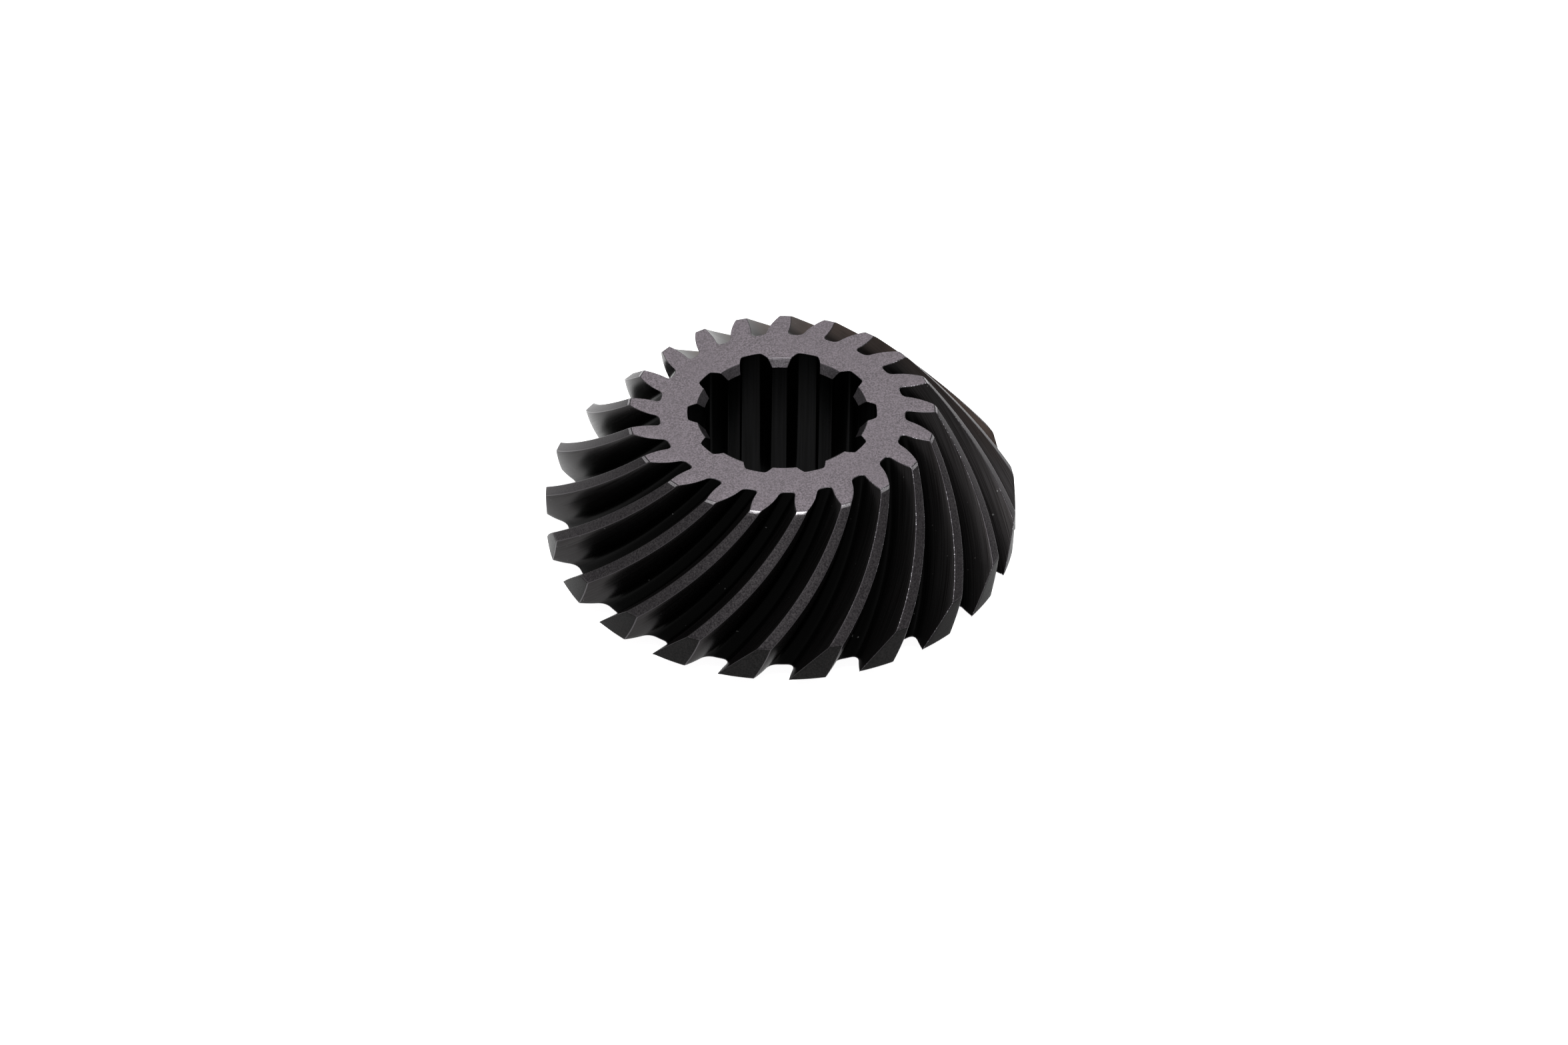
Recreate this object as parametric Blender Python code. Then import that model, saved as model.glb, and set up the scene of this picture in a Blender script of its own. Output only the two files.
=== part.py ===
"""Spiral bevel gear with an internally splined bore, modelled in metres.

The gear is one piece of steel. Its axis is Z and it stands on a short hub, whose face lies
on z = 0. The teeth start at z = HUB_HEIGHT and narrow towards the front face at z = THICKNESS.
A groove of the spline lies on +X.

The teeth lie between a root cone and a face cone that share one apex above the front face.
Two coordinates place a point on a tooth: its distance from the apex along the pitch cone,
and its height above the root cone.
"""

import math

import bmesh
import bpy

MM = 0.001

# Gear teeth
TEETH = 21
MATING_TEETH = 30                       # gives the pitch cone's angle at a 90 degree drive
ROOT_CONE_ANGLE = math.radians(32.5)    # half angles, from the axis
FACE_CONE_ANGLE = math.radians(38.5)
SPIRAL_ANGLE = math.radians(33.8)       # at MEAN_DISTANCE, right-hand
CUTTER_RADIUS = 38.0 * MM               # of the arc that a tooth follows along its length
TOE_DISTANCE = 26.0 * MM
MEAN_DISTANCE = 34.0 * MM
HEEL_DISTANCE = 42.0 * MM
SLOT_FLOOR_AT_TOE = 1.48 * MM           # width of a tooth slot at the root cone
SLOT_FLOOR_AT_HEEL = 2.05 * MM
FLANK_ANGLE_AT_ROOT = math.radians(1.3)
FLANK_CURVATURE = 69.0                  # 1/m; brings the flank to 18 degrees at half its depth
ROOT_FILLET_SHARE = 0.45                # of the slot's floor width
TOOTH_PHASE = math.radians(2.26)        # a tooth's centre at MEAN_DISTANCE, from +X

# Blank
OUTER_RADIUS = 25.15 * MM
HUB_RADIUS = 15.0 * MM
HUB_HEIGHT = 2.0 * MM
HUB_CHAMFER = 0.5 * MM
THICKNESS = HUB_HEIGHT + 15.4 * MM
APEX_HEIGHT = HUB_HEIGHT + 35.8 * MM
TOE_CHAMFER_RADIAL = 0.25 * MM
TOE_CHAMFER_AXIAL = 0.2 * MM

# Spline: an involute form with a raised tooth height
SPLINE_GROOVES = 10
SPLINE_MODULE = 20.0 / 12.0 * MM
SPLINE_PRESSURE_ANGLE = math.radians(20.0)
SPLINE_PROFILE_SHIFT = 0.8
BORE_CHAMFER_RADIUS = 9.1 * MM          # where a 45 degree chamfer meets either face

# Facets
FACE_BANDS = 6                          # bands of facets between the toe chamfer and the crown
RIM_BANDS = 2                           # bands between the crown and the back of the teeth
HUB_SEGMENTS = 72
FLANK_FRACTIONS = (0.33, 0.67)
FILLET_FRACTIONS = (0.0, 0.35, 0.7, 1.0)
SPLINE_FLANK_STEPS = 4
SPLINE_ARC_STEPS = 2

PITCH_CONE_ANGLE = math.atan(TEETH / MATING_TEETH)
TOOTH_PITCH = math.tau / TEETH
CROWN_HEIGHT = APEX_HEIGHT - OUTER_RADIUS / math.tan(FACE_CONE_ANGLE)
GROOVE_PITCH = math.tau / SPLINE_GROOVES
SPLINE_MINOR_RADIUS = SPLINE_GROOVES * SPLINE_MODULE / 2
SPLINE_MAJOR_RADIUS = SPLINE_MINOR_RADIUS + SPLINE_MODULE
BORE_CHAMFER_DEPTH = BORE_CHAMFER_RADIUS - SPLINE_MINOR_RADIUS


def clear_scene():
    for item in list(bpy.data.objects):
        bpy.data.objects.remove(item, do_unlink=True)


def steel_material():
    material = bpy.data.materials.new("dark_steel")
    material.use_nodes = True
    shader = material.node_tree.nodes["Principled BSDF"]
    shader.inputs["Base Color"].default_value = (0.13, 0.125, 0.13, 1.0)
    shader.inputs["Metallic"].default_value = 0.9
    shader.inputs["Roughness"].default_value = 0.5
    return material


def cone_coordinates(radius, height):
    """Return a point's distance along the pitch cone and its height above the root cone."""
    reach = math.hypot(radius, APEX_HEIGHT - height)
    angle = math.atan2(radius, APEX_HEIGHT - height)
    distance = reach * math.cos(angle - PITCH_CONE_ANGLE)
    depth = reach * math.sin(angle - ROOT_CONE_ANGLE)
    return distance, depth


def spiral_angle(distance):
    """Spiral angle where a circle of the cutter's radius crosses this cone distance."""
    centre_squared = (MEAN_DISTANCE**2 + CUTTER_RADIUS**2
                      - 2 * MEAN_DISTANCE * CUTTER_RADIUS * math.sin(SPIRAL_ANGLE))
    sine = (distance**2 + CUTTER_RADIUS**2 - centre_squared) / (2 * distance * CUTTER_RADIUS)
    return math.asin(sine)


def cutter_polar_angle(distance):
    """Angle, in the unrolled pitch cone, from the cutter's centre to its arc."""
    centre = math.sqrt(MEAN_DISTANCE**2 + CUTTER_RADIUS**2
                       - 2 * MEAN_DISTANCE * CUTTER_RADIUS * math.sin(SPIRAL_ANGLE))
    cosine = (distance**2 + centre**2 - CUTTER_RADIUS**2) / (2 * distance * centre)
    return math.acos(cosine)


def slot_centre_angle(distance):
    """Angle about the axis of a slot's centre line at this cone distance."""
    unrolled = cutter_polar_angle(distance) - cutter_polar_angle(MEAN_DISTANCE)
    turn = unrolled / math.sin(PITCH_CONE_ANGLE)
    return TOOTH_PHASE + TOOTH_PITCH / 2 + turn


def slot_floor_width(distance):
    along = (distance - TOE_DISTANCE) / (HEEL_DISTANCE - TOE_DISTANCE)
    return SLOT_FLOOR_AT_TOE + (SLOT_FLOOR_AT_HEEL - SLOT_FLOOR_AT_TOE) * along


def slot_half_width(distance, depth):
    """Half a slot's width, square to the slot, at a height above the root cone."""
    bulge = FLANK_CURVATURE * depth**2 * HEEL_DISTANCE / distance
    return slot_floor_width(distance) / 2 + depth * math.tan(FLANK_ANGLE_AT_ROOT) + bulge


def flank_angle(radius, height, side):
    """Angle about the axis of one wall of a slot; side is -1 or +1."""
    distance, depth = cone_coordinates(radius, height)
    half_width = slot_half_width(distance, depth)
    half_angle = half_width / (radius * math.cos(spiral_angle(distance)))
    return slot_centre_angle(distance) + side * half_angle


def root_radius(height):
    return (APEX_HEIGHT - height) * math.tan(ROOT_CONE_ANGLE)


def tip_radius(height):
    """Outer radius of the turned blank: rim, face cone and toe chamfer."""
    face = min(OUTER_RADIUS, (APEX_HEIGHT - height) * math.tan(FACE_CONE_ANGLE))
    into_chamfer = max(0.0, height - (THICKNESS - TOE_CHAMFER_AXIAL))
    chamfer_start = (APEX_HEIGHT - THICKNESS + TOE_CHAMFER_AXIAL) * math.tan(FACE_CONE_ANGLE)
    if into_chamfer == 0.0:
        return face
    return chamfer_start - TOE_CHAMFER_RADIAL * into_chamfer / TOE_CHAMFER_AXIAL


def slot_wall(height, side):
    """Points (radius, angle) from the slot's floor out to the tooth's tip, on one side."""
    root = root_radius(height)
    tip = tip_radius(height)
    fillet = ROOT_FILLET_SHARE * slot_floor_width(cone_coordinates(root, height)[0])
    corner_angle = flank_angle(root, height, side)
    fillet_top = root + fillet
    fillet_top_angle = flank_angle(fillet_top, height, side)
    floor_angle = corner_angle - side * fillet / root
    points = []
    for t in FILLET_FRACTIONS:
        radius = root + (fillet_top - root) * t**2
        angle = (floor_angle * (1 - t)**2 + 2 * corner_angle * t * (1 - t)
                 + fillet_top_angle * t**2)
        points.append((radius, angle))
    for fraction in FLANK_FRACTIONS + (1.0,):
        radius = fillet_top + (tip - fillet_top) * fraction
        points.append((radius, flank_angle(radius, height, side)))
    return points


def tooth_outline(height):
    """Closed outline (radius, angle) of all the teeth at one height."""
    low_wall = slot_wall(height, -1)
    high_wall = slot_wall(height, +1)
    root = root_radius(height)
    floor_middle = (root, (low_wall[0][1] + high_wall[0][1]) / 2)
    tip = tip_radius(height)
    tip_middle = (tip, (high_wall[-1][1] + low_wall[-1][1] + TOOTH_PITCH) / 2)
    one_pitch = low_wall[::-1] + [floor_middle] + high_wall + [tip_middle]
    outline = []
    for index in range(TEETH):
        outline += [(radius, angle + index * TOOTH_PITCH) for radius, angle in one_pitch]
    return outline


def involute(angle):
    return math.tan(angle) - angle


def groove_half_angle(radius):
    """Half the angle that a spline groove spans at this radius."""
    base_radius = SPLINE_MINOR_RADIUS * math.cos(SPLINE_PRESSURE_ANGLE)
    at_pitch = (math.pi / 2 + 2 * SPLINE_PROFILE_SHIFT * math.tan(SPLINE_PRESSURE_ANGLE)) / SPLINE_GROOVES
    here = math.acos(base_radius / radius)
    return at_pitch - involute(here) + involute(SPLINE_PRESSURE_ANGLE)


def spline_outline(chamfer_radius):
    """Closed outline of the bore, opened out to chamfer_radius where the chamfer cuts it."""
    radii = [SPLINE_MINOR_RADIUS + SPLINE_MODULE * step / SPLINE_FLANK_STEPS
             for step in range(SPLINE_FLANK_STEPS + 1)]
    rising = [(radius, -groove_half_angle(radius)) for radius in radii]
    falling = [(radius, groove_half_angle(radius)) for radius in reversed(radii)]
    bottom_half = groove_half_angle(SPLINE_MAJOR_RADIUS)
    land_start = groove_half_angle(SPLINE_MINOR_RADIUS)
    land_span = GROOVE_PITCH - 2 * land_start
    bottom = [(SPLINE_MAJOR_RADIUS, bottom_half * (2 * step / SPLINE_ARC_STEPS - 1))
              for step in range(1, SPLINE_ARC_STEPS)]
    land = [(SPLINE_MINOR_RADIUS, land_start + land_span * step / SPLINE_ARC_STEPS)
            for step in range(1, SPLINE_ARC_STEPS)]
    outline = []
    for index in range(SPLINE_GROOVES):
        for radius, angle in rising + bottom + falling + land:
            outline.append((max(radius, chamfer_radius), angle + index * GROOVE_PITCH))
    return outline


def add_ring(mesh, outline, height):
    return [mesh.verts.new((radius * math.cos(angle), radius * math.sin(angle), height))
            for radius, angle in outline]


def skin_rings(mesh, rings):
    """Join rings that run upwards and turn anticlockwise, with faces pointing outwards."""
    for lower, upper in zip(rings, rings[1:]):
        count = len(lower)
        for index in range(count):
            following = (index + 1) % count
            mesh.faces.new((lower[index], lower[following], upper[following], upper[index]))


def cap_between(mesh, outer_ring, inner_ring):
    """Fill the flat annulus between two closed rings."""
    edges = []
    for ring in (outer_ring, inner_ring):
        for start, end in zip(ring, ring[1:] + ring[:1]):
            edges.append(mesh.edges.get((start, end)))
    bmesh.ops.triangle_fill(mesh, use_beauty=True, edges=edges)


def circle(radius):
    return [(radius, math.tau * step / HUB_SEGMENTS) for step in range(HUB_SEGMENTS)]


def hub_levels():
    """Heights of the hub's rings, from its face to the back of the teeth, with their radii."""
    return [(0.0, HUB_RADIUS - HUB_CHAMFER), (HUB_CHAMFER, HUB_RADIUS), (HUB_HEIGHT, HUB_RADIUS)]


def tooth_heights():
    """Heights of the teeth's rings, from their back to the front face."""
    chamfer_start = THICKNESS - TOE_CHAMFER_AXIAL
    rim = [HUB_HEIGHT + (CROWN_HEIGHT - HUB_HEIGHT) * step / RIM_BANDS
           for step in range(RIM_BANDS)]
    face = [CROWN_HEIGHT + (chamfer_start - CROWN_HEIGHT) * step / FACE_BANDS
            for step in range(FACE_BANDS + 1)]
    return rim + face + [THICKNESS]


def bore_levels():
    """Heights of the bore's rings, with the chamfer's radius at each."""
    half_way = (BORE_CHAMFER_RADIUS + SPLINE_MINOR_RADIUS) / 2
    return [
        (0.0, BORE_CHAMFER_RADIUS),
        (BORE_CHAMFER_DEPTH / 2, half_way),
        (BORE_CHAMFER_DEPTH, SPLINE_MINOR_RADIUS),
        (THICKNESS - BORE_CHAMFER_DEPTH, SPLINE_MINOR_RADIUS),
        (THICKNESS - BORE_CHAMFER_DEPTH / 2, half_way),
        (THICKNESS, BORE_CHAMFER_RADIUS),
    ]


def make_gear(name):
    mesh = bmesh.new()
    hub = [add_ring(mesh, circle(radius), height) for height, radius in hub_levels()]
    teeth = [add_ring(mesh, tooth_outline(height), height) for height in tooth_heights()]
    bore = [add_ring(mesh, spline_outline(radius), height) for height, radius in bore_levels()]
    for rings in (hub, teeth, bore):
        skin_rings(mesh, rings)
    cap_between(mesh, hub[0], bore[0])
    cap_between(mesh, teeth[0], hub[-1])
    cap_between(mesh, teeth[-1], bore[-1])
    bmesh.ops.recalc_face_normals(mesh, faces=mesh.faces)
    data = bpy.data.meshes.new(name)
    mesh.to_mesh(data)
    mesh.free()
    data.shade_smooth()
    data.set_sharp_from_angle(angle=math.radians(28))
    gear = bpy.data.objects.new(name, data)
    bpy.context.scene.collection.objects.link(gear)
    return gear


clear_scene()
gear = make_gear("spiral_bevel_gear")
gear.data.materials.append(steel_material())
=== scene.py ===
"""Looks of the spiral bevel gear: a fine, edge-rounded mesh of its real surface and its steel.

The gear's axis is Z. It stands on a short hub, whose face lies on z = 0, and its front face
looks up. The tooth and spline formulas are those of the CAD model, so the fine surface lies on
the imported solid. Lengths are metres.
"""

import math

import bmesh
import bpy
from mathutils import Matrix, Vector


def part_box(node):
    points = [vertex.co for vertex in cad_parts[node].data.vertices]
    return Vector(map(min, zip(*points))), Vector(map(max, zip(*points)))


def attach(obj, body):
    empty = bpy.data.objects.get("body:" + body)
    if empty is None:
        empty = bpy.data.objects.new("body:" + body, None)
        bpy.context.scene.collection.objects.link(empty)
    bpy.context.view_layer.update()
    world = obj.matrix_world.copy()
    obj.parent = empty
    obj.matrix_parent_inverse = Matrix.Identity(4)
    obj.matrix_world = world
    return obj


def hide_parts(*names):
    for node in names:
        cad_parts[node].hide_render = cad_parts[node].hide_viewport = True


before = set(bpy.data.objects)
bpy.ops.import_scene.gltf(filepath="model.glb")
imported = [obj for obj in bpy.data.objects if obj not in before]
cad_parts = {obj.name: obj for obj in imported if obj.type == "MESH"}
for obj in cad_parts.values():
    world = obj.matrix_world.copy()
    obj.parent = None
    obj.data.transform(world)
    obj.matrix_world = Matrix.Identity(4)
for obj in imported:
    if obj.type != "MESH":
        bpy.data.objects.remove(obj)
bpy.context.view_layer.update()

MM = 0.001
CAD_NODE = "spiral_bevel_gear"

# Gear teeth, as in the CAD model
TEETH = 21
MATING_TEETH = 30
ROOT_CONE_ANGLE = math.radians(32.5)
FACE_CONE_ANGLE = math.radians(38.5)
SPIRAL_ANGLE = math.radians(33.8)
CUTTER_RADIUS = 38.0 * MM
TOE_DISTANCE = 26.0 * MM
MEAN_DISTANCE = 34.0 * MM
HEEL_DISTANCE = 42.0 * MM
SLOT_FLOOR_AT_TOE = 1.48 * MM
SLOT_FLOOR_AT_HEEL = 2.05 * MM
FLANK_ANGLE_AT_ROOT = math.radians(1.3)
FLANK_CURVATURE = 69.0
ROOT_FILLET_SHARE = 0.45
TOOTH_PHASE = math.radians(2.26)

# Blank, as in the CAD model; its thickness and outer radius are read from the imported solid
HUB_RADIUS = 15.0 * MM
HUB_HEIGHT = 2.0 * MM
HUB_CHAMFER = 0.5 * MM
APEX_HEIGHT = HUB_HEIGHT + 35.8 * MM
TOE_CHAMFER_RADIAL = 0.25 * MM
TOE_CHAMFER_AXIAL = 0.2 * MM

# Spline, as in the CAD model
SPLINE_GROOVES = 10
SPLINE_MODULE = 20.0 / 12.0 * MM
SPLINE_PRESSURE_ANGLE = math.radians(20.0)
SPLINE_PROFILE_SHIFT = 0.8
BORE_CHAMFER_RADIUS = 9.1 * MM

# Rounding of the edges
LAND_EDGE = 0.06 * MM                   # between a tooth's land and its flanks
TURNED_EDGE = 0.12 * MM                 # height over which the turned profile changes slope
FRONT_EDGE = 0.05 * MM                  # round the front face, the hub and the bore's ends
BACK_EDGE = 0.12 * MM                   # round the back of the teeth
HUB_FILLET = 0.4 * MM                   # where the hub meets the back of the teeth
GROOVE_CORNER = 0.18 * MM               # at the bottom of a spline groove
SPLINE_EDGE = 0.06 * MM                 # along a spline tooth's tip

# Fineness of the mesh
FLOOR_STEPS = 3
FILLET_STEPS = 7
FLANK_STEPS = 9
CORNER_STEPS = 3
LAND_STEPS = 5
FACE_RINGS = 36
RIM_RINGS = 6
TURNED_EDGE_RINGS = 4
ROUND_STEPS = 3
SPLINE_FLANK_STEPS = 6
SPLINE_ARC_STEPS = 6
BORE_RINGS = 6
CHAMFER_RINGS = 4
HUB_SEGMENTS = 288
HUB_FILLET_RINGS = 6

# Camera: where it stands from the middle of the front face, and how its aim is off that point
CAMERA_DISTANCE = 625.7 * MM
CAMERA_ELEVATION = math.radians(39.914)
CAMERA_AZIMUTH = math.radians(-2.169)   # from the -Y axis, anticlockwise seen from above
CAMERA_YAW = math.radians(-0.0308)
CAMERA_PITCH = math.radians(-1.0693)
CAMERA_ROLL = math.radians(0.7078)
SENSOR_WIDTH = 36.0
LENS = 135.992

# Steel: the sizes of its patterns
GRAIN_SIZE = 0.18 * MM
CLOUD_SIZE = 4.0 * MM
NICK_SIZE = 0.15 * MM
SPECK_SIZE = 0.35 * MM
TURNING_PITCH = 0.12 * MM
BROACH_LINE_SIZE = 0.25 * MM
BROACH_STRETCH = (1.0, 1.0, 0.02)       # draws the broach's lines out along the axis
CUTTER_STRETCH = (0.12, 7.0, 3.0)       # of the cutter's lines: along, across, from slot to slot
LINE_DEPTH = 0.02 * MM

# Steel: the part of a noise's range that a pattern is spread over
PATTERN_SPAN = (0.35, 0.65)
ROUGHNESS_SPAN = (0.3, 0.7)
CLOUD_SPAN = (0.3, 0.7)
CLOUD_STRENGTH = 0.4                    # the most that a cloud evens out the grain
NICK_SPAN = (0.55, 0.66)
NICKED_PATCH_SPAN = (0.40, 0.55)
SPECK_SPAN = (0.85, 0.89)
# Patches of the flanks' brown tint, which is also a painted reflection
TINT_AND_PAINTED_REFLECTION_PATCH_SPAN = (0.3, 0.6)
LEAST_TINT_AND_PAINTED_REFLECTION = 0.5                        # the part of the tint left between its patches

# Steel: how roughness and relief vary, and where the tint with its painted reflection, the nicks and
# the painted shade on the slot floors lie
GRAIN_ROUGHNESS_CHANGE = 0.05
LINE_ROUGHNESS_CHANGE = 0.03
CUTTER_RELIEF = 0.05
BROACH_RELIEF = 0.15
# The brown tint and its painted reflection lie over the rear and right flanks
TINT_AND_PAINTED_REFLECTION_DIRECTION = (0.4, 0.9, 0.0)        # the flanks' brown tint grows this way
TINT_AND_PAINTED_REFLECTION_SPAN = (12.0 * MM, 18.0 * MM)
NICK_DIRECTION = (1.0, 0.0, 0.0)        # and the edges' bright nicks this way
NICK_DISTANCE_SPAN = (5.0 * MM, 12.0 * MM)
# Painted shade: the slot floors are darkened, and the darkening fades out over this span
PAINTED_FLOOR_SHADE_SPAN = (0.8, 2.4)                  # of the grain's millimetres across, from floor to flank

# Table and light
FLOOR_SIZE = 6.0
FLOOR_GAP = 0.02 * MM
FLOOR_SHADE = 0.5
FLOOR_ROUGHNESS = 0.9
FLOOR_GLOW = 0.9
SOFTBOX_ELEVATION = math.radians(78)
SOFTBOX_DISTANCE = 500.0 * MM
SOFTBOX_SIZE = 240.0 * MM
SOFTBOX_POWER = 5.5                     # watts
REAR_ELEVATION = math.radians(40)
REAR_DISTANCE = 600.0 * MM
REAR_SIZE = 500.0 * MM
REAR_POWER = 0.8                        # watts
WORLD_STRENGTH = 0.5

SURFACES = ("face", "chamfer", "edge", "land", "rim", "flank", "bore", "hub", "bore_chamfer")
FACE, CHAMFER, EDGE, LAND, RIM, FLANK, BORE, HUB, BORE_CHAMFER = range(len(SURFACES))
GRAIN = "tooth_grain"
SHARP_ANGLE = math.radians(40)

lowest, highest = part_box(CAD_NODE)
THICKNESS = highest.z - lowest.z
OUTER_RADIUS = min(highest.x, highest.y, -lowest.x, -lowest.y)

PITCH_CONE_ANGLE = math.atan(TEETH / MATING_TEETH)
TOOTH_PITCH = math.tau / TEETH
CROWN_HEIGHT = APEX_HEIGHT - OUTER_RADIUS / math.tan(FACE_CONE_ANGLE)
TOE_CHAMFER_START = THICKNESS - TOE_CHAMFER_AXIAL
GROOVE_PITCH = math.tau / SPLINE_GROOVES
SPLINE_MINOR_RADIUS = SPLINE_GROOVES * SPLINE_MODULE / 2
SPLINE_MAJOR_RADIUS = SPLINE_MINOR_RADIUS + SPLINE_MODULE
BORE_CHAMFER_DEPTH = BORE_CHAMFER_RADIUS - SPLINE_MINOR_RADIUS


# ---------------------------------------------------------------- tooth surface

def cone_coordinates(radius, height):
    """Return a point's distance along the pitch cone and its height above the root cone."""
    reach = math.hypot(radius, APEX_HEIGHT - height)
    angle = math.atan2(radius, APEX_HEIGHT - height)
    distance = reach * math.cos(angle - PITCH_CONE_ANGLE)
    depth = reach * math.sin(angle - ROOT_CONE_ANGLE)
    return distance, depth


def cutter_centre_squared():
    return (MEAN_DISTANCE**2 + CUTTER_RADIUS**2
            - 2 * MEAN_DISTANCE * CUTTER_RADIUS * math.sin(SPIRAL_ANGLE))


def spiral_angle(distance):
    """Spiral angle where a circle of the cutter's radius crosses this cone distance."""
    sine = ((distance**2 + CUTTER_RADIUS**2 - cutter_centre_squared())
            / (2 * distance * CUTTER_RADIUS))
    return math.asin(sine)


def cutter_polar_angle(distance):
    """Angle, in the unrolled pitch cone, from the cutter's centre to its arc."""
    centre = math.sqrt(cutter_centre_squared())
    cosine = (distance**2 + centre**2 - CUTTER_RADIUS**2) / (2 * distance * centre)
    return math.acos(cosine)


def slot_centre_angle(distance):
    """Angle about the axis of a slot's centre line at this cone distance."""
    unrolled = cutter_polar_angle(distance) - cutter_polar_angle(MEAN_DISTANCE)
    turn = unrolled / math.sin(PITCH_CONE_ANGLE)
    return TOOTH_PHASE + TOOTH_PITCH / 2 + turn


def slot_floor_width(distance):
    along = (distance - TOE_DISTANCE) / (HEEL_DISTANCE - TOE_DISTANCE)
    return SLOT_FLOOR_AT_TOE + (SLOT_FLOOR_AT_HEEL - SLOT_FLOOR_AT_TOE) * along


def slot_half_width(distance, depth):
    """Half a slot's width, square to the slot, at a height above the root cone."""
    bulge = FLANK_CURVATURE * depth**2 * HEEL_DISTANCE / distance
    return slot_floor_width(distance) / 2 + depth * math.tan(FLANK_ANGLE_AT_ROOT) + bulge


def flank_angle(radius, height, side):
    """Angle about the axis of one wall of a slot; side is -1 or +1."""
    distance, depth = cone_coordinates(radius, height)
    half_width = slot_half_width(distance, depth)
    half_angle = half_width / (radius * math.cos(spiral_angle(distance)))
    return slot_centre_angle(distance) + side * half_angle


def root_radius(height):
    return (APEX_HEIGHT - height) * math.tan(ROOT_CONE_ANGLE)


def smooth_minimum(first, second, blend):
    """The lower of two values, eased where they are within blend of each other."""
    overlap = max(blend - abs(first - second), 0.0)
    return min(first, second) - overlap**2 / (4 * blend)


def tip_radius(height):
    """Outer radius of the turned blank: rim, face cone and toe chamfer, with eased corners."""
    cone = (APEX_HEIGHT - height) * math.tan(FACE_CONE_ANGLE)
    chamfer_start = (APEX_HEIGHT - TOE_CHAMFER_START) * math.tan(FACE_CONE_ANGLE)
    chamfer = chamfer_start - TOE_CHAMFER_RADIAL * (height - TOE_CHAMFER_START) / TOE_CHAMFER_AXIAL
    face = smooth_minimum(OUTER_RADIUS, cone, TURNED_EDGE)
    return smooth_minimum(face, chamfer, TURNED_EDGE / 2)


def bend(start, corner, end, share):
    """A point on the curve from start to end that leaves and arrives towards the corner."""
    return tuple(a * (1 - share)**2 + 2 * b * share * (1 - share) + c * share**2
                 for a, b, c in zip(start, corner, end))


def slot_wall(height, side):
    """Points (radius, angle) from the slot's floor out to the land, on one side."""
    root = root_radius(height)
    tip = tip_radius(height)
    fillet = ROOT_FILLET_SHARE * slot_floor_width(cone_coordinates(root, height)[0])
    root_corner = (root, flank_angle(root, height, side))
    floor_end = (root, root_corner[1] - side * fillet / root)
    flank_foot = (root + fillet, flank_angle(root + fillet, height, side))
    flank_top = (tip - LAND_EDGE, flank_angle(tip - LAND_EDGE, height, side))
    tip_corner = (tip, flank_angle(tip, height, side))
    land_start = (tip, tip_corner[1] + side * LAND_EDGE / tip)
    points = [bend(floor_end, root_corner, flank_foot, step / FILLET_STEPS)
              for step in range(FILLET_STEPS + 1)]
    for step in range(1, FLANK_STEPS + 1):
        radius = flank_foot[0] + (flank_top[0] - flank_foot[0]) * step / FLANK_STEPS
        points.append((radius, flank_angle(radius, height, side)))
    points += [bend(flank_top, tip_corner, land_start, step / CORNER_STEPS)
               for step in range(1, CORNER_STEPS + 1)]
    return points


def between(start, end, steps):
    """The points inside a straight run of equal steps."""
    return [tuple(a + (b - a) * step / steps for a, b in zip(start, end))
            for step in range(1, steps)]


def turned_by(points, angle):
    return [(radius, point_angle + angle) for radius, point_angle in points]


def tooth_outline(height):
    """Closed outline (radius, angle) of all the teeth at one height, anticlockwise."""
    low_wall = slot_wall(height, -1)
    high_wall = slot_wall(height, +1)
    next_low_wall = turned_by(low_wall, TOOTH_PITCH)[::-1]
    one_pitch = (between(low_wall[0], high_wall[0], FLOOR_STEPS) + high_wall
                 + between(high_wall[-1], next_low_wall[0], LAND_STEPS) + next_low_wall)
    outline = []
    for index in range(TEETH):
        outline += turned_by(one_pitch, index * TOOTH_PITCH)
    return outline


def tooth_strips(land):
    """Material of each strip of the outline, in its order, where the lands have this one."""
    wall = [FLANK] * (FILLET_STEPS + FLANK_STEPS) + [EDGE] * CORNER_STEPS
    return ([FLANK] * (FLOOR_STEPS - 1) + wall + [land] * LAND_STEPS + wall[::-1] + [FLANK]) * TEETH


def tooth_levels():
    """Rings of the teeth from the back up: (height, inset, land material above the ring).

    None as the material stands for a rounded edge, where every strip is part of the edge.
    """
    crown_reach = TURNED_EDGE / math.tan(FACE_CONE_ANGLE)
    chamfer_reach = TOE_CHAMFER_AXIAL / 4
    runs = [
        (HUB_HEIGHT + BACK_EDGE, CROWN_HEIGHT - crown_reach, RIM_RINGS, RIM),
        (CROWN_HEIGHT - crown_reach, CROWN_HEIGHT, TURNED_EDGE_RINGS // 2, RIM),
        (CROWN_HEIGHT, CROWN_HEIGHT + crown_reach, TURNED_EDGE_RINGS // 2, LAND),
        (CROWN_HEIGHT + crown_reach, TOE_CHAMFER_START - chamfer_reach, FACE_RINGS, LAND),
        (TOE_CHAMFER_START - chamfer_reach, TOE_CHAMFER_START + chamfer_reach,
         TURNED_EDGE_RINGS, CHAMFER),
        (TOE_CHAMFER_START + chamfer_reach, THICKNESS - FRONT_EDGE, 1, CHAMFER),
    ]
    return edge_levels(BACK_EDGE, HUB_HEIGHT) + run_levels(runs) + front_edge_levels(FRONT_EDGE)


def edge_levels(size, start=0.0):
    """Rings that round a lower edge, from its flat face at start up to where the wall is full."""
    levels = []
    for step in range(ROUND_STEPS):
        turn = math.pi / 2 * step / ROUND_STEPS
        levels.append((start + size * (1 - math.cos(turn)), size * (1 - math.sin(turn)), None))
    return levels


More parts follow.
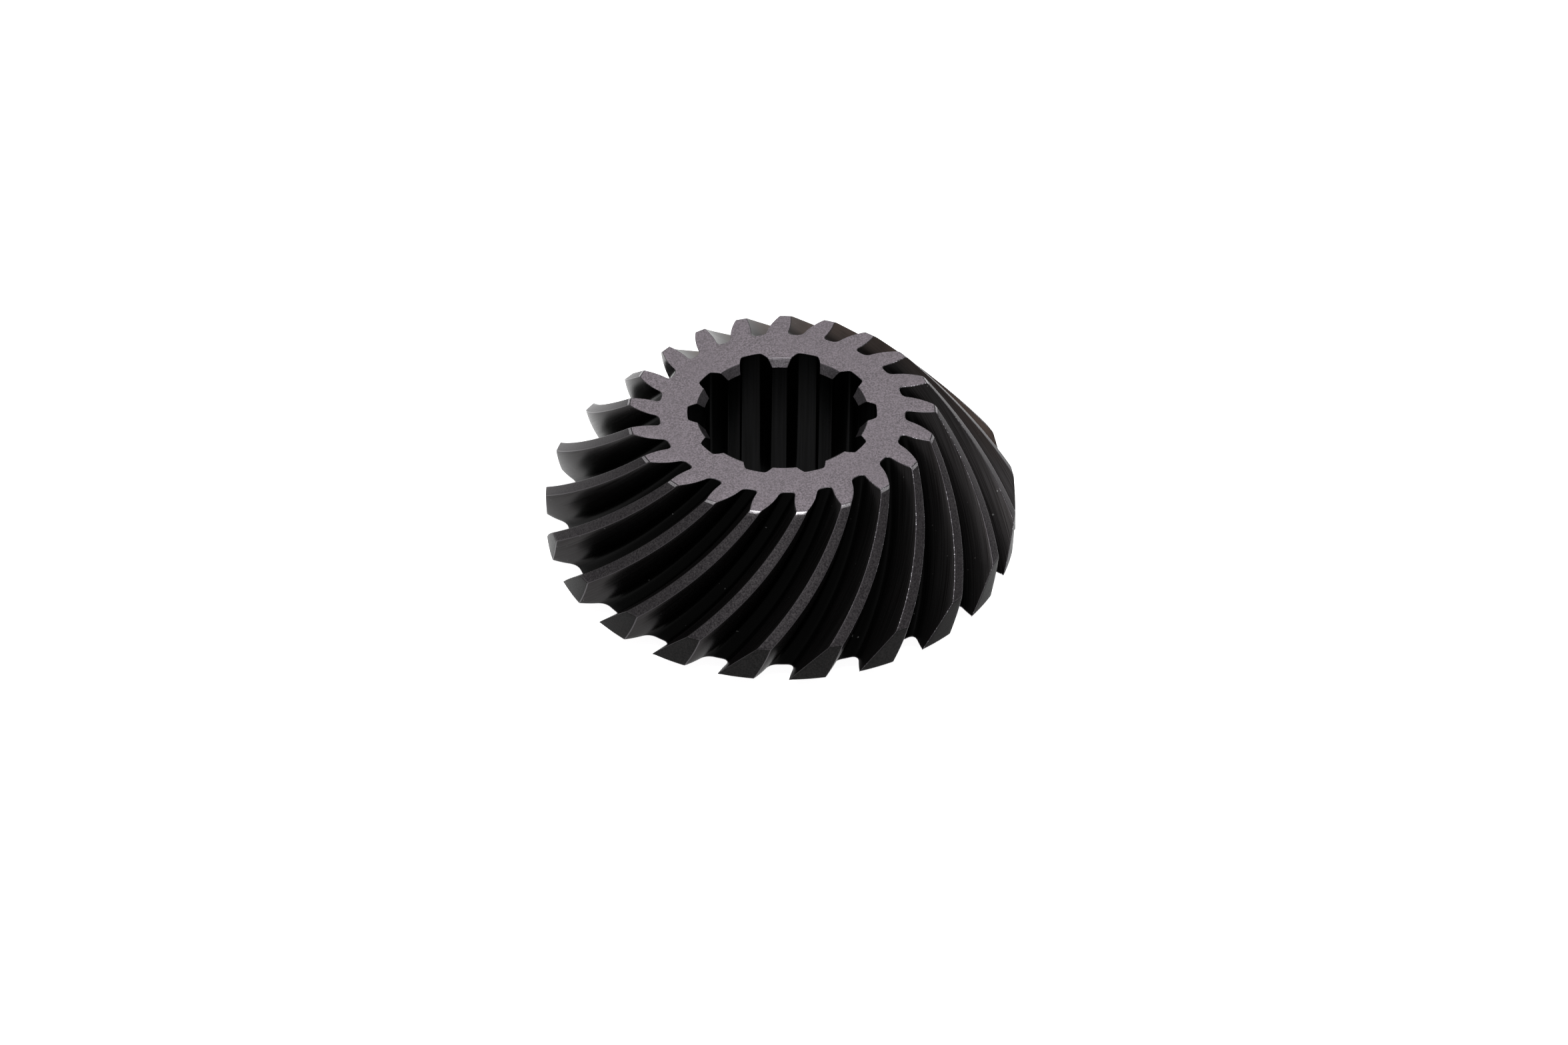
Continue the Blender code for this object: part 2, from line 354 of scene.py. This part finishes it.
def front_edge_levels(size):
    """Rings that round the front edge, from where the wall is full up to the front face."""
    downwards = [(size, 0.0, None)] + edge_levels(size)[::-1]
    return [(THICKNESS - depth, inset, None) for depth, inset, _ in downwards]


def run_levels(runs):
    """Rings of straight runs, each given as (start, end, steps, land material)."""
    levels = []
    for start, end, steps, material in runs:
        levels += [(start + (end - start) * step / steps, 0.0, material) for step in range(steps)]
    return levels


# ---------------------------------------------------------------- hub

def hub_levels():
    """Rings of the hub from its face up: (radius, height, material above the ring)."""
    face_radius = HUB_RADIUS - HUB_CHAMFER
    levels = [
        (face_radius - FRONT_EDGE, 0.0, EDGE),
        (face_radius + FRONT_EDGE, FRONT_EDGE, HUB),
        (HUB_RADIUS - FRONT_EDGE, HUB_CHAMFER - FRONT_EDGE, EDGE),
        (HUB_RADIUS, HUB_CHAMFER + FRONT_EDGE, HUB),
    ]
    for step in range(HUB_FILLET_RINGS + 1):
        turn = math.pi / 2 * step / HUB_FILLET_RINGS
        levels.append((HUB_RADIUS + HUB_FILLET * (1 - math.cos(turn)),
                       HUB_HEIGHT - HUB_FILLET * (1 - math.sin(turn)), HUB))
    return levels


def add_hub(mesh):
    levels = hub_levels()
    turns = [math.tau * step / HUB_SEGMENTS for step in range(HUB_SEGMENTS)]
    rings = []
    for radius, height, _ in levels:
        rings.append([mesh.verts.new((radius * math.cos(turn), radius * math.sin(turn), height))
                      for turn in turns])
    skin_rings(mesh, rings, levels, lambda material: [material] * HUB_SEGMENTS)
    return rings


# ---------------------------------------------------------------- splined bore

def involute(angle):
    return math.tan(angle) - angle


def groove_half_angle(radius):
    """Half the angle that a spline groove spans at this radius."""
    base_radius = SPLINE_MINOR_RADIUS * math.cos(SPLINE_PRESSURE_ANGLE)
    widening = 2 * SPLINE_PROFILE_SHIFT * math.tan(SPLINE_PRESSURE_ANGLE)
    at_pitch = (math.pi / 2 + widening) / SPLINE_GROOVES
    here = math.acos(base_radius / radius)
    return at_pitch - involute(here) + involute(SPLINE_PRESSURE_ANGLE)


def groove_wall(inner):
    """Points (radius, angle) of a groove's left wall, from its bottom in to the land."""
    bottom_corner = (SPLINE_MAJOR_RADIUS, groove_half_angle(SPLINE_MAJOR_RADIUS))
    bottom_end = (SPLINE_MAJOR_RADIUS, bottom_corner[1] - GROOVE_CORNER / SPLINE_MAJOR_RADIUS)
    wall_start = SPLINE_MAJOR_RADIUS - GROOVE_CORNER
    wall_end = inner + SPLINE_EDGE
    land_corner = (inner, groove_half_angle(inner))
    land_start = (inner, land_corner[1] + SPLINE_EDGE / inner)
    points = [bend(bottom_end, bottom_corner, (wall_start, groove_half_angle(wall_start)),
                   step / CORNER_STEPS) for step in range(CORNER_STEPS + 1)]
    for step in range(1, SPLINE_FLANK_STEPS + 1):
        radius = wall_start + (wall_end - wall_start) * step / SPLINE_FLANK_STEPS
        points.append((radius, groove_half_angle(radius)))
    points += [bend((wall_end, groove_half_angle(wall_end)), land_corner, land_start,
                    step / CORNER_STEPS) for step in range(1, CORNER_STEPS + 1)]
    return points


def spline_outline(inner):
    """Closed outline of the bore, anticlockwise, with its lands at this radius."""
    left_wall = groove_wall(inner)
    right_wall = [(radius, -angle) for radius, angle in left_wall[::-1]]
    next_right_wall = turned_by(right_wall, GROOVE_PITCH)
    one_pitch = (between(right_wall[-1], left_wall[0], SPLINE_ARC_STEPS) + left_wall
                 + between(left_wall[-1], next_right_wall[0], SPLINE_ARC_STEPS) + next_right_wall)
    outline = []
    for index in range(SPLINE_GROOVES):
        outline += turned_by(one_pitch, index * GROOVE_PITCH)
    return outline


def spline_strips(land):
    """Material of each strip of the bore's outline, where the lands have this one."""
    wall = [BORE] * (CORNER_STEPS + SPLINE_FLANK_STEPS) + [land] * CORNER_STEPS
    pitch = [BORE] * (SPLINE_ARC_STEPS - 1) + wall + [land] * SPLINE_ARC_STEPS + wall[::-1] + [BORE]
    return pitch * SPLINE_GROOVES


def bore_levels():
    """Rings of the bore from the hub's face up: (height, inset, land material above the ring)."""
    runs = [
        (FRONT_EDGE, BORE_CHAMFER_DEPTH, CHAMFER_RINGS, BORE_CHAMFER),
        (BORE_CHAMFER_DEPTH, THICKNESS - BORE_CHAMFER_DEPTH, BORE_RINGS, BORE),
        (THICKNESS - BORE_CHAMFER_DEPTH, THICKNESS - FRONT_EDGE, CHAMFER_RINGS, BORE_CHAMFER),
    ]
    return edge_levels(FRONT_EDGE) + run_levels(runs) + front_edge_levels(FRONT_EDGE)


def land_radius(height):
    """Radius of the bore's lands, opened out by the 45 degree chamfer at either end."""
    from_end = min(height, THICKNESS - height)
    return max(SPLINE_MINOR_RADIUS, BORE_CHAMFER_RADIUS - from_end)


# ---------------------------------------------------------------- gear mesh

def flat_points(outline, inset):
    """Outline as (x, y) points, moved to the left of its direction by inset."""
    points = [Vector((radius * math.cos(angle), radius * math.sin(angle)))
              for radius, angle in outline]
    if inset == 0.0:
        return points
    moved = []
    for before, point, after in zip(points[-1:] + points[:-1], points, points[1:] + points[:1]):
        along = (after - before).normalized()
        moved.append(point + inset * Vector((-along.y, along.x)))
    return moved


def add_rings(mesh, levels, outline_at, inset_side):
    """Add one ring per level; inset_side is +1 to move it left of its direction, -1 right."""
    rings = []
    for height, inset, _ in levels:
        points = flat_points(outline_at(height), inset_side * inset)
        rings.append([mesh.verts.new((point.x, point.y, height)) for point in points])
    return rings


def skin_rings(mesh, rings, levels, strips_for):
    """Join rings that run upwards, with each strip's material."""
    for lower, upper, (_, _, land) in zip(rings, rings[1:], levels):
        strips = [EDGE] * len(lower) if land is None else strips_for(land)
        for index, material in enumerate(strips):
            following = (index + 1) % len(lower)
            face = mesh.faces.new((lower[index], lower[following], upper[following], upper[index]))
            face.material_index = material


def cap_between(mesh, outer_ring, inner_ring):
    """Fill the flat annulus between two closed rings."""
    edges = []
    for ring in (outer_ring, inner_ring):
        for start, end in zip(ring, ring[1:] + ring[:1]):
            edges.append(mesh.edges.get((start, end)))
    filled = bmesh.ops.triangle_fill(mesh, use_beauty=True, edges=edges)
    for item in filled["geom"]:
        if isinstance(item, bmesh.types.BMFace):
            item.material_index = FACE


def tooth_grain(radius, angle, height):
    """Millimetres along the slot, millimetres across it from its middle, and its number.

    Lines of equal distance across run the length of a flank, as the cutter's marks do.
    """
    distance, depth = cone_coordinates(radius, height)
    turns = (angle - slot_centre_angle(distance)) / TOOTH_PITCH
    offset = (turns - round(turns)) * TOOTH_PITCH * radius * math.cos(spiral_angle(distance))
    across = math.copysign(depth + abs(offset), offset)
    return distance / MM, across / MM, round(turns)


def make_gear(name, materials):
    mesh = bmesh.new()
    grain = mesh.verts.layers.float_vector.new(GRAIN)
    outer_levels = tooth_levels()
    inner_levels = bore_levels()
    outer = add_rings(mesh, outer_levels, tooth_outline, +1)
    hub = add_hub(mesh)
    bore = add_rings(mesh, inner_levels, lambda height: spline_outline(land_radius(height)), -1)
    skin_rings(mesh, outer, outer_levels, tooth_strips)
    skin_rings(mesh, bore, inner_levels, spline_strips)
    cap_between(mesh, hub[0], bore[0])
    cap_between(mesh, outer[0], hub[-1])
    cap_between(mesh, outer[-1], bore[-1])
    bmesh.ops.recalc_face_normals(mesh, faces=mesh.faces)
    for ring in outer:
        for vertex in ring:
            x, y, height = vertex.co
            vertex[grain] = tooth_grain(math.hypot(x, y), math.atan2(y, x), height)
    data = bpy.data.meshes.new(name)
    mesh.to_mesh(data)
    mesh.free()
    for material in materials:
        data.materials.append(material)
    data.shade_smooth()
    data.set_sharp_from_angle(angle=SHARP_ANGLE)
    gear = bpy.data.objects.new(name, data)
    bpy.context.scene.collection.objects.link(gear)
    normals = gear.modifiers.new("weighted_normals", "WEIGHTED_NORMAL")
    normals.keep_sharp = True
    return gear


# ---------------------------------------------------------------- material nodes

def new_material(name):
    material = bpy.data.materials.new(name)
    material.use_nodes = True
    return material, material.node_tree, material.node_tree.nodes["Principled BSDF"]


def object_position(tree):
    return tree.nodes.new("ShaderNodeTexCoord").outputs["Object"]


def grain_position(tree):
    attribute = tree.nodes.new("ShaderNodeAttribute")
    attribute.attribute_name = GRAIN
    return attribute.outputs["Vector"]


def split_axes(tree, position):
    split = tree.nodes.new("ShaderNodeSeparateXYZ")
    tree.links.new(position, split.inputs["Vector"])
    return split.outputs


def stretched(tree, position, scale):
    mapping = tree.nodes.new("ShaderNodeMapping")
    mapping.inputs["Scale"].default_value = scale
    tree.links.new(position, mapping.inputs["Vector"])
    return mapping.outputs["Vector"]


def noise(tree, position, scale, detail=3.0, roughness=0.6):
    texture = tree.nodes.new("ShaderNodeTexNoise")
    texture.inputs["Scale"].default_value = scale
    texture.inputs["Detail"].default_value = detail
    texture.inputs["Roughness"].default_value = roughness
    tree.links.new(position, texture.inputs["Vector"])
    return texture.outputs["Fac"]


def multiplied(tree, first, second):
    node = tree.nodes.new("ShaderNodeMath")
    node.operation = "MULTIPLY"
    tree.links.new(first, node.inputs[0])
    tree.links.new(second, node.inputs[1])
    return node.outputs["Value"]


def ranged(tree, value, span, low_out=0.0, high_out=1.0):
    """Map a value's span to low_out..high_out, held at both ends."""
    node = tree.nodes.new("ShaderNodeMapRange")
    node.inputs["From Min"].default_value = span[0]
    node.inputs["From Max"].default_value = span[1]
    node.inputs["To Min"].default_value = low_out
    node.inputs["To Max"].default_value = high_out
    tree.links.new(value, node.inputs["Value"])
    return node.outputs["Result"]


def blended(tree, factor, first, second):
    """Mix two colours; each is a tuple or another node's output."""
    node = tree.nodes.new("ShaderNodeMix")
    node.data_type = "RGBA"
    tree.links.new(factor, node.inputs["Factor"])
    for socket, colour in zip((node.inputs[6], node.inputs[7]), (first, second)):
        if isinstance(colour, tuple):
            socket.default_value = colour + (1.0,)
        else:
            tree.links.new(colour, socket)
    return node.outputs[2]


def towards(tree, position, direction, span):
    """0 to 1 as a point's reach in a direction goes over the span."""
    reach = tree.nodes.new("ShaderNodeVectorMath")
    reach.operation = "DOT_PRODUCT"
    reach.inputs[1].default_value = direction
    tree.links.new(position, reach.inputs[0])
    return ranged(tree, reach.outputs["Value"], span)


def away_from_painted_floor_shade(tree):
    """Painted shade mask: 0 on a slot's floor, where the painted shade is full, rising to 1 up its
    flanks.
    """
    across = tree.nodes.new("ShaderNodeMath")
    across.operation = "ABSOLUTE"
    tree.links.new(split_axes(tree, grain_position(tree))["Y"], across.inputs[0])
    return ranged(tree, across.outputs["Value"], PAINTED_FLOOR_SHADE_SPAN)


def turned_position(tree, position):
    """Radius and height, so that a noise over them makes rings like a lathe's marks."""
    radius = tree.nodes.new("ShaderNodeVectorMath")
    radius.operation = "LENGTH"
    tree.links.new(stretched(tree, position, (1.0, 1.0, 0.0)), radius.inputs[0])
    joined = tree.nodes.new("ShaderNodeCombineXYZ")
    tree.links.new(radius.outputs["Value"], joined.inputs["X"])
    tree.links.new(split_axes(tree, position)["Z"], joined.inputs["Y"])
    return joined.outputs["Vector"]


def bumped(tree, shader, height, strength, distance):
    """Add relief to a shader, over any relief it already has."""
    bump = tree.nodes.new("ShaderNodeBump")
    bump.inputs["Strength"].default_value = strength
    bump.inputs["Distance"].default_value = distance
    tree.links.new(height, bump.inputs["Height"])
    if shader.inputs["Normal"].is_linked:
        tree.links.new(shader.inputs["Normal"].links[0].from_socket, bump.inputs["Normal"])
    tree.links.new(bump.outputs["Normal"], shader.inputs["Normal"])


def roughened(tree, shader, pattern, roughness, change):
    """Let roughness follow a pattern, by up to this change each way."""
    varied = ranged(tree, pattern, ROUGHNESS_SPAN, roughness - change, roughness + change)
    tree.links.new(varied, shader.inputs["Roughness"])


def set_metal(tree, shader, colour, metallic, grazing):
    """Give a shader its colour; grazing scales its reflection at a glancing view."""
    tree.links.new(colour, shader.inputs["Base Color"])
    shader.inputs["Metallic"].default_value = metallic
    shader.inputs["Specular Tint"].default_value = (grazing, grazing, grazing, 1.0)


# ---------------------------------------------------------------- steel

def grained_steel(name, dark, light, metallic, roughness, grazing, relief, turning=0.0):
    """Matt steel with an even fine grain, cloudier patches and, if asked, a lathe's marks."""
    material, tree, shader = new_material(name)
    position = object_position(tree)
    fine = noise(tree, position, 1.0 / GRAIN_SIZE, detail=2.0)
    clouds = noise(tree, position, 1.0 / CLOUD_SIZE, detail=2.0)
    speckled = blended(tree, ranged(tree, fine, PATTERN_SPAN), dark, light)
    middle = tuple((a + b) / 2 for a, b in zip(dark, light))
    cloudiness = ranged(tree, clouds, CLOUD_SPAN, 0.0, CLOUD_STRENGTH)
    set_metal(tree, shader, blended(tree, cloudiness, speckled, middle), metallic, grazing)
    roughened(tree, shader, fine, roughness, GRAIN_ROUGHNESS_CHANGE)
    bumped(tree, shader, fine, relief, GRAIN_SIZE / 4)
    if turning > 0.0:
        marks = noise(tree, turned_position(tree, position), 1.0 / TURNING_PITCH, detail=1.0)
        bumped(tree, shader, marks, turning, TURNING_PITCH / 6)
    return material


def cut_steel(name, dark, light, tint, root, speck, metallic, roughness, grazing):
    """Flank steel: the cutter's fine lines, a brown tint that is also a painted reflection on the
    rear and right, painted shade on the slot floors and a few specks.
    """
    material, tree, shader = new_material(name)
    position = object_position(tree)
    lines = noise(tree, stretched(tree, grain_position(tree), CUTTER_STRETCH), 1.0)
    patches = noise(tree, position, 1.0 / CLOUD_SIZE, detail=2.0)
    specks = noise(tree, position, 1.0 / SPECK_SIZE, detail=0.0)
    # Brown tint and painted reflection: a colour lighter than the flank steel, laid in soft patches
    # over the rear and right
    tint_and_painted_reflection_mask = multiplied(tree, ranged(tree, patches, TINT_AND_PAINTED_REFLECTION_PATCH_SPAN, LEAST_TINT_AND_PAINTED_REFLECTION, 1.0),
                         towards(tree, position, TINT_AND_PAINTED_REFLECTION_DIRECTION, TINT_AND_PAINTED_REFLECTION_SPAN))
    lined = blended(tree, ranged(tree, lines, PATTERN_SPAN), dark, light)
    with_tint_and_painted_reflection = blended(tree, tint_and_painted_reflection_mask, lined, tint)
    # Painted shade: the slot floors are darkened to the root colour
    shaded = blended(tree, away_from_painted_floor_shade(tree), root, with_tint_and_painted_reflection)
    specked = blended(tree, ranged(tree, specks, SPECK_SPAN), shaded, speck)
    set_metal(tree, shader, specked, metallic, grazing)
    roughened(tree, shader, lines, roughness, LINE_ROUGHNESS_CHANGE)
    bumped(tree, shader, lines, CUTTER_RELIEF, LINE_DEPTH)
    return material


def broached_steel(name, dark, light, metallic, roughness, grazing):
    """Bore steel with the broach's lines along the axis."""
    material, tree, shader = new_material(name)
    drawn_out = stretched(tree, object_position(tree), BROACH_STRETCH)
    lines = noise(tree, drawn_out, 1.0 / BROACH_LINE_SIZE)
    lined = blended(tree, ranged(tree, lines, PATTERN_SPAN), dark, light)
    set_metal(tree, shader, lined, metallic, grazing)
    roughened(tree, shader, lines, roughness, LINE_ROUGHNESS_CHANGE)
    bumped(tree, shader, lines, BROACH_RELIEF, LINE_DEPTH)
    return material


def worn_steel(name, dull, bright, metallic, roughness):
    """Edge steel: dull, with small bright nicks on the side where it has been knocked."""
    material, tree, shader = new_material(name)
    position = object_position(tree)
    nicks = noise(tree, position, 1.0 / NICK_SIZE, detail=2.0)
    patches = noise(tree, position, 1.0 / CLOUD_SIZE, detail=1.0)
    where = multiplied(tree, ranged(tree, patches, NICKED_PATCH_SPAN),
                       towards(tree, position, NICK_DIRECTION, NICK_DISTANCE_SPAN))
    worn = multiplied(tree, ranged(tree, nicks, NICK_SPAN), where)
    set_metal(tree, shader, blended(tree, worn, dull, bright), metallic, grazing=1.0)
    shader.inputs["Roughness"].default_value = roughness
    return material


def gear_materials():
    """The gear's materials, in the order of the names in SURFACES."""
    return [
        grained_steel("face_steel", (0.036, 0.030, 0.034), (0.104, 0.088, 0.101),
                      metallic=0.4, roughness=0.5, grazing=1.0, relief=0.6),
        # Toe chamfer: its light colour is a painted highlight of the overhead softbox
        grained_steel("chamfer_steel", (0.18, 0.17, 0.18), (0.29, 0.28, 0.29),
                      metallic=0.85, roughness=0.28, grazing=0.7, relief=0.15),
        worn_steel("edge_steel", (0.034, 0.031, 0.034), (0.30, 0.29, 0.31),
                   metallic=0.95, roughness=0.40),
        grained_steel("land_steel", (0.020, 0.018, 0.020), (0.050, 0.046, 0.048),
                      metallic=0.98, roughness=0.42, grazing=0.7, relief=0.3, turning=0.1),
        # Heel rim: a several times darker copy of the land steel, as painted shade
        grained_steel("rim_steel_with_painted_shade", (0.0035, 0.0035, 0.0035), (0.010, 0.0095, 0.0095),
                      metallic=0.98, roughness=0.42, grazing=0.65, relief=0.3, turning=0.1),
        cut_steel("flank_steel", (0.010, 0.009, 0.009), (0.024, 0.0225, 0.023),
                  # root is the painted shade of the slot floors; tint is a brown colour and a painted
                  # reflection on the rear and right flanks
                  tint=(0.080, 0.060, 0.052), root=(0.002, 0.002, 0.002),
                  speck=(0.10, 0.10, 0.10), metallic=0.94, roughness=0.32, grazing=0.55),
        # Bore: broached steel whose very dark colour is painted shade inside the hole
        broached_steel("bore_steel_with_painted_shade", (0.003, 0.003, 0.003), (0.005, 0.005, 0.0052),
                       metallic=0.98, roughness=0.32, grazing=0.4),
        grained_steel("hub_steel", (0.020, 0.018, 0.020), (0.050, 0.046, 0.048),
                      metallic=0.95, roughness=0.42, grazing=0.5, relief=0.3, turning=0.15),
        grained_steel("bore_chamfer_steel", (0.025, 0.023, 0.025), (0.050, 0.046, 0.050),
                      metallic=0.9, roughness=0.36, grazing=0.5, relief=0.2),
    ]


# ---------------------------------------------------------------- floor, light and camera

def make_floor():
    """A pale table that glows evenly, like a light table, a hair below the gear."""
    half = FLOOR_SIZE / 2
    level = lowest.z - FLOOR_GAP
    corners = [(-half, -half, level), (half, -half, level), (half, half, level), (-half, half, level)]
    data = bpy.data.meshes.new("floor")
    data.from_pydata(corners, [], [(0, 1, 2, 3)])
    floor = bpy.data.objects.new("floor", data)
    bpy.context.scene.collection.objects.link(floor)
    material, _, shader = new_material("pale_table")
    shader.inputs["Base Color"].default_value = (FLOOR_SHADE, FLOOR_SHADE, FLOOR_SHADE, 1.0)
    shader.inputs["Roughness"].default_value = FLOOR_ROUGHNESS
    shader.inputs["Specular IOR Level"].default_value = 0.0
    shader.inputs["Emission Color"].default_value = (1.0, 1.0, 1.0, 1.0)
    shader.inputs["Emission Strength"].default_value = FLOOR_GLOW
    data.materials.append(material)


def from_direction(azimuth, elevation):
    """Unit vector towards an azimuth (0 is -Y, anticlockwise from above) and an elevation."""
    return Vector((math.sin(azimuth) * math.cos(elevation),
                   -math.cos(azimuth) * math.cos(elevation), math.sin(elevation)))


def add_panel(name, azimuth, elevation, distance, size, power):
    """A square soft light that faces the gear from an azimuth (0 is -Y) and an elevation."""
    light = bpy.data.lights.new(name, "AREA")
    light.shape = "SQUARE"
    light.size = size
    light.energy = power
    panel = bpy.data.objects.new(name, light)
    bpy.context.scene.collection.objects.link(panel)
    back = from_direction(azimuth, elevation)
    panel.location = Vector((0, 0, THICKNESS / 2)) + back * distance
    panel.rotation_euler = back.to_track_quat("Z", "Y").to_euler()


def make_lights():
    """A softbox overhead, a weak panel behind and a white surround."""
    add_panel("overhead_softbox", 0.0, SOFTBOX_ELEVATION, SOFTBOX_DISTANCE, SOFTBOX_SIZE,
              SOFTBOX_POWER)
    add_panel("rear_panel", math.pi, REAR_ELEVATION, REAR_DISTANCE, REAR_SIZE, REAR_POWER)
    world = bpy.data.worlds.new("studio")
    world.use_nodes = True
    background = world.node_tree.nodes["Background"]
    background.inputs["Color"].default_value = (1.0, 1.0, 1.0, 1.0)
    background.inputs["Strength"].default_value = WORLD_STRENGTH
    bpy.context.scene.world = world
    bpy.context.scene.view_settings.view_transform = "Standard"


def make_camera():
    """Stand the camera off the middle of the front face, with its aim a little off that point."""
    target = Vector((0, 0, THICKNESS))
    back = from_direction(CAMERA_AZIMUTH, CAMERA_ELEVATION)
    right = Vector((math.cos(CAMERA_AZIMUTH), math.sin(CAMERA_AZIMUTH), 0))
    up = back.cross(right)
    level = Matrix((right, up, back)).transposed()
    aim = (Matrix.Rotation(CAMERA_YAW, 3, "Y") @ Matrix.Rotation(CAMERA_PITCH, 3, "X")
           @ Matrix.Rotation(CAMERA_ROLL, 3, "Z"))
    data = bpy.data.cameras.new("camera")
    data.sensor_width = SENSOR_WIDTH
    data.lens = LENS
    camera = bpy.data.objects.new("camera", data)
    bpy.context.scene.collection.objects.link(camera)
    camera.matrix_world = (Matrix.Translation(target + back * CAMERA_DISTANCE)
                           @ (level @ aim).to_4x4())
    bpy.context.scene.camera = camera


make_camera()
make_lights()
make_floor()
gear = make_gear("finished_gear", gear_materials())
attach(gear, "root")
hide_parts(CAD_NODE)
